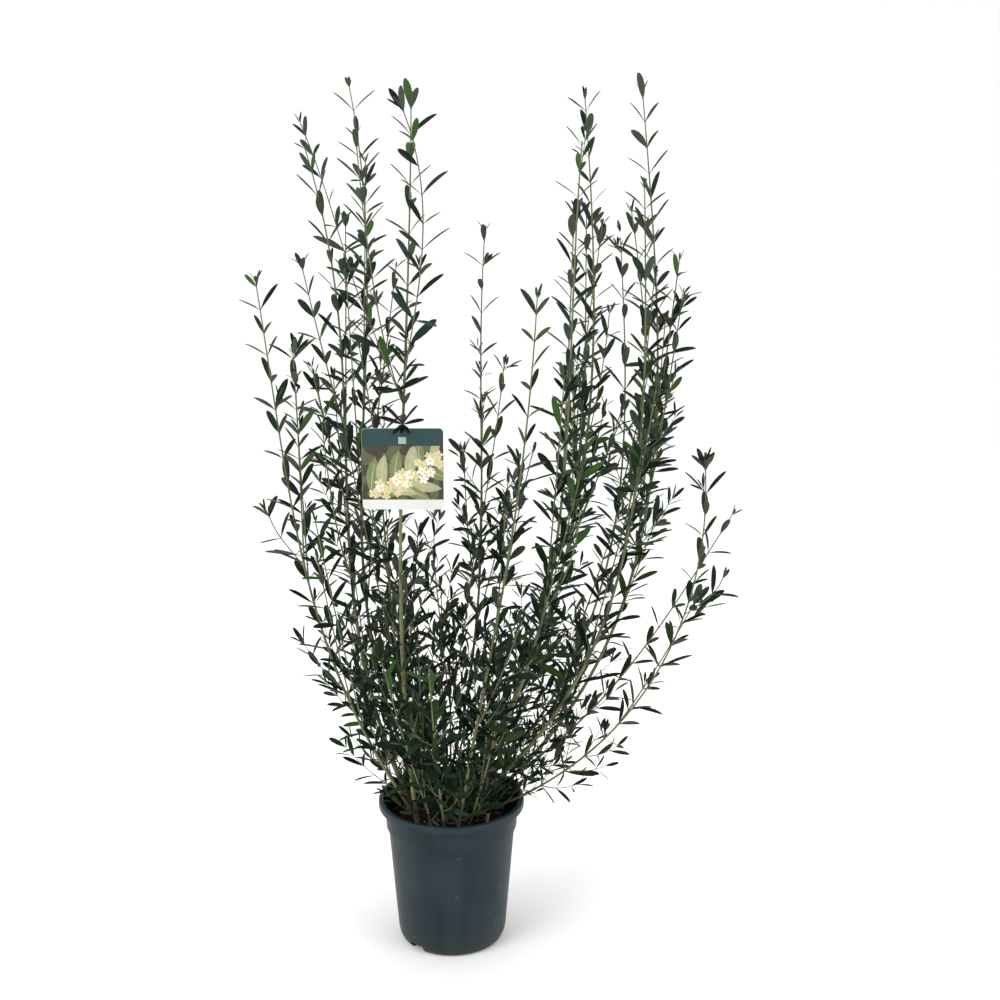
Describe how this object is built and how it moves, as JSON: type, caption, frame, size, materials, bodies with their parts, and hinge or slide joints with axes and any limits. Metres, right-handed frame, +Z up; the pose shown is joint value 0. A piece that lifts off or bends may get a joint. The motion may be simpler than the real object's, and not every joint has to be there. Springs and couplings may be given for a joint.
{
  "type": "potted phillyrea",
  "caption": "Upright evergreen shrub of slender leafy wands, growing in a round nursery pot with a blank-worded picture label hung on one stem.",
  "frame": {"origin": "middle of the pot's flat underside, on the floor it stands on", "axes": "+Z up, -Y towards the side where the label hangs, +X to the right seen from there, which is the side that the longest wands lean to"},
  "size_m": [0.7581, 0.5216, 1.3672],
  "materials": {
    "pot": "satin",
    "soil": "rough",
    "bark": "matte",
    "leaf": "satin",
    "card": "gloss",
    "strap": "satin"
  },
  "bodies": {
    "root": {"bough_back_left": "bark", "bough_back_middle": "bark", "bough_back_right": "bark", "bough_front": "bark", "bough_front_middle": "bark", "bough_inner_left": "bark", "bough_left_arch": "bark", "bough_left_tall": "bark", "bough_low_1": "bark", "bough_low_10": "bark", "bough_low_11": "bark", "bough_low_2": "bark", "bough_low_3": "bark", "bough_low_4": "bark", "bough_low_5": "bark", "bough_low_6": "bark", "bough_low_7": "bark", "bough_low_8": "bark", "bough_low_9": "bark", "bough_right_back": "bark", "bough_right_front": "bark", "bough_right_inner": "bark", "bough_right_low": "bark", "bough_right_outer": "bark", "bough_right_rear": "bark", "bough_right_tall": "bark", "foliage_back_left": "leaf", "foliage_back_middle": "leaf", "foliage_back_right": "leaf", "foliage_front": "leaf", "foliage_front_middle": "leaf", "foliage_inner_left": "leaf", "foliage_left_arch": "leaf", "foliage_left_tall": "leaf", "foliage_low_1": "leaf", "foliage_low_10": "leaf", "foliage_low_11": "leaf", "foliage_low_2": "leaf", "foliage_low_3": "leaf", "foliage_low_4": "leaf", "foliage_low_5": "leaf", "foliage_low_6": "leaf", "foliage_low_7": "leaf", "foliage_low_8": "leaf", "foliage_low_9": "leaf", "foliage_right_back": "leaf", "foliage_right_front": "leaf", "foliage_right_inner": "leaf", "foliage_right_low": "leaf", "foliage_right_outer": "leaf", "foliage_right_rear": "leaf", "foliage_right_tall": "leaf", "label_card": "card", "label_strap": "strap", "pot": "pot", "soil": "soil"}
  },
  "joints": []
}
